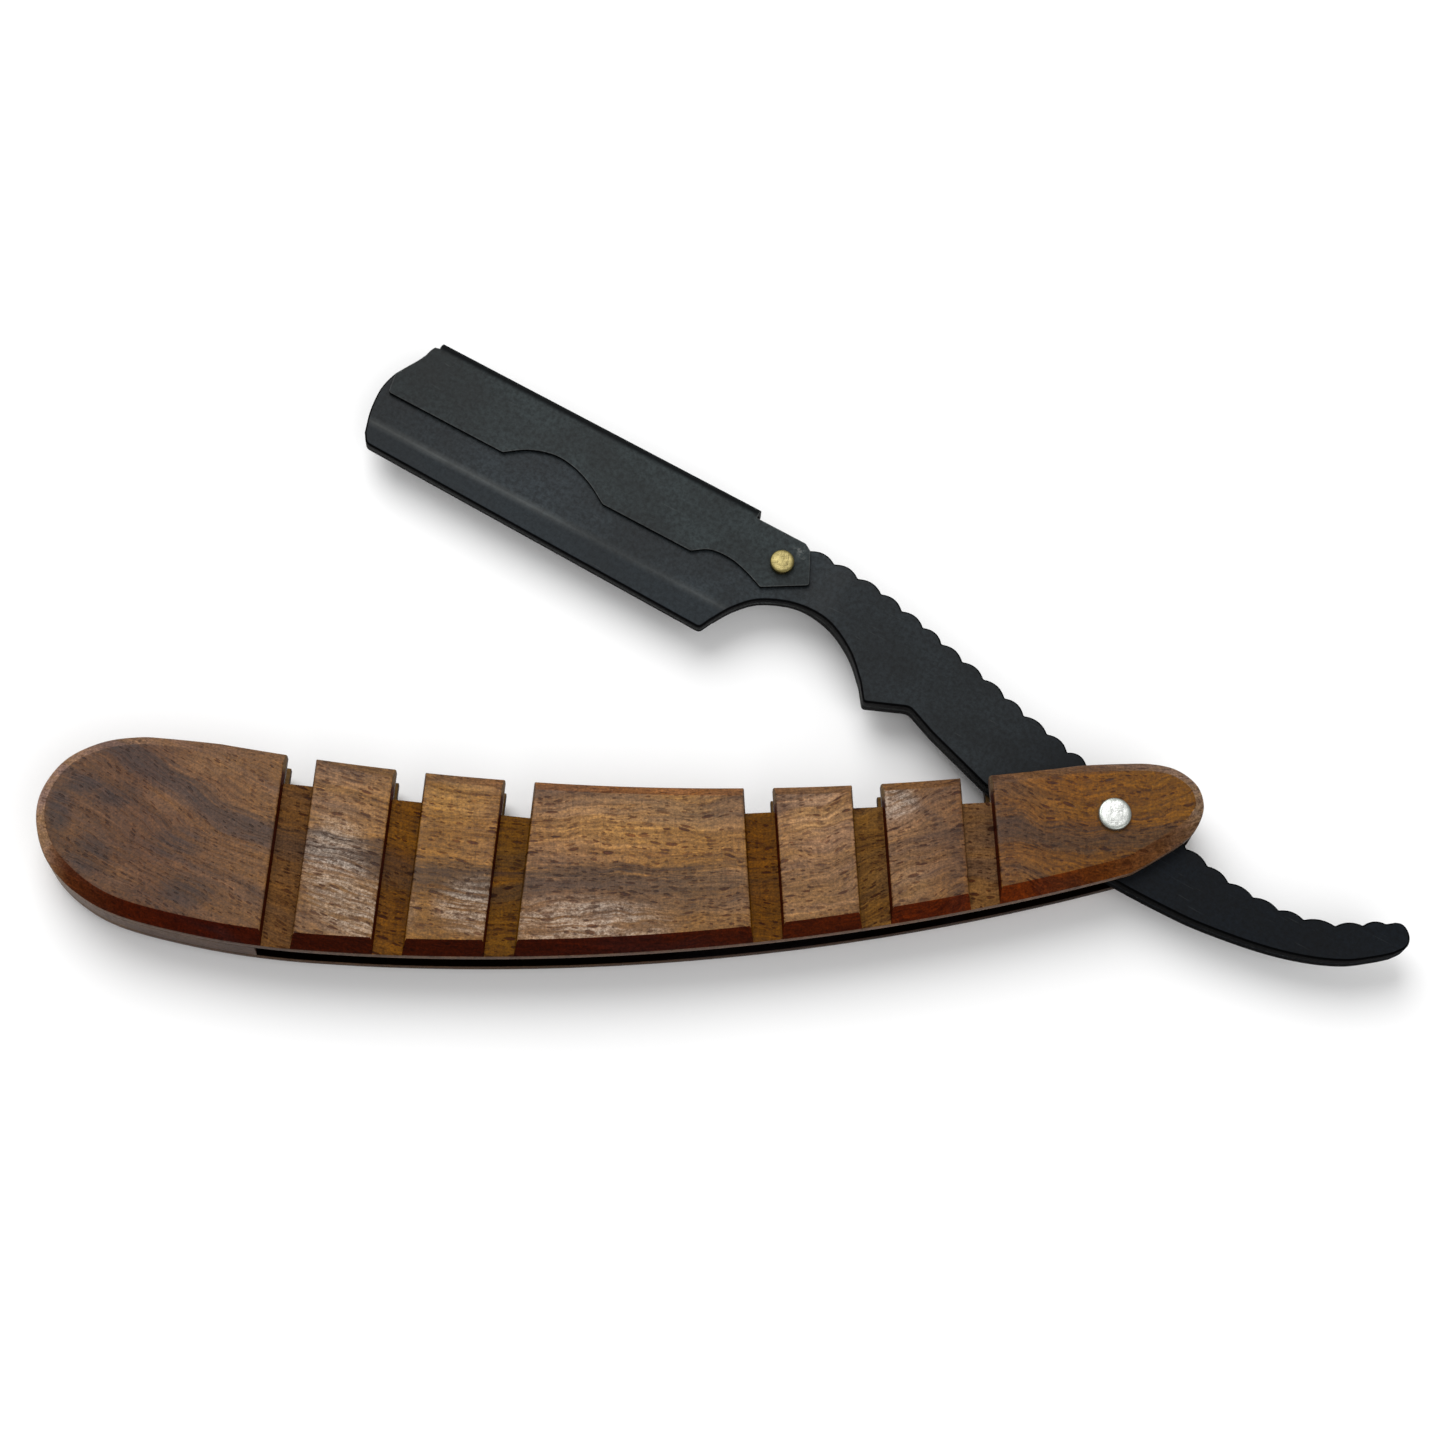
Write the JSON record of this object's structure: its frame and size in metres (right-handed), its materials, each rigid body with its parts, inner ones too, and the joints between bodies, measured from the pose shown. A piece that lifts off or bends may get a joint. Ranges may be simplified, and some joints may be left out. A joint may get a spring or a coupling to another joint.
{
  "type": "straight razor",
  "caption": "Folding straight razor with a grooved wooden handle, a scalloped metal arm and a swing-open cover that clamps a replaceable half blade.",
  "frame": {"origin": "on the arm's pivot axis, at the flat outer face of the pivot rivet's rear head", "axes": "+X along the handle from its butt towards its pivot end, +Y across the handle from its lower edge to its notched top edge, +Z from the rear scale to the front scale, along the pivot axis"},
  "size_m": [0.1704, 0.0822, 0.0109],
  "materials": {
    "wood_front": "oiled, dark streaks",
    "wood_rear": "oiled, dark streaks",
    "wood_butt": "oiled",
    "arm_coat": "satin black coating",
    "cover_coat": "satin black coating",
    "pivot_steel": "bright, finely scratched",
    "cover_brass": "satin",
    "stud_steel": "plain"
  },
  "bodies": {
    "handle": {"front_scale": "wood_front", "rear_scale": "wood_rear", "butt_spacer": "wood_butt", "pivot_rivet": "pivot_steel"},
    "arm": {"arm_front_plate": "arm_coat", "arm_rear_plate": "arm_coat", "blade_stud_toe": "stud_steel", "blade_stud_heel": "stud_steel", "cover_rivet": "cover_brass"},
    "cover": {"cover": "cover_coat"}
  },
  "joints": [
    {"name": "arm_pivot", "type": "hinge", "parent": "handle", "child": "arm", "pos_m": [0, 0, 0.00535], "axis": [0, 0, 1], "range_deg": [-300, 31]},
    {"name": "cover_swing", "type": "hinge", "parent": "arm", "child": "cover", "pos_m": [-0.04094, 0.03401, 0.00535], "axis": [0, 0, 1], "range_deg": [-90, 0]}
  ]
}
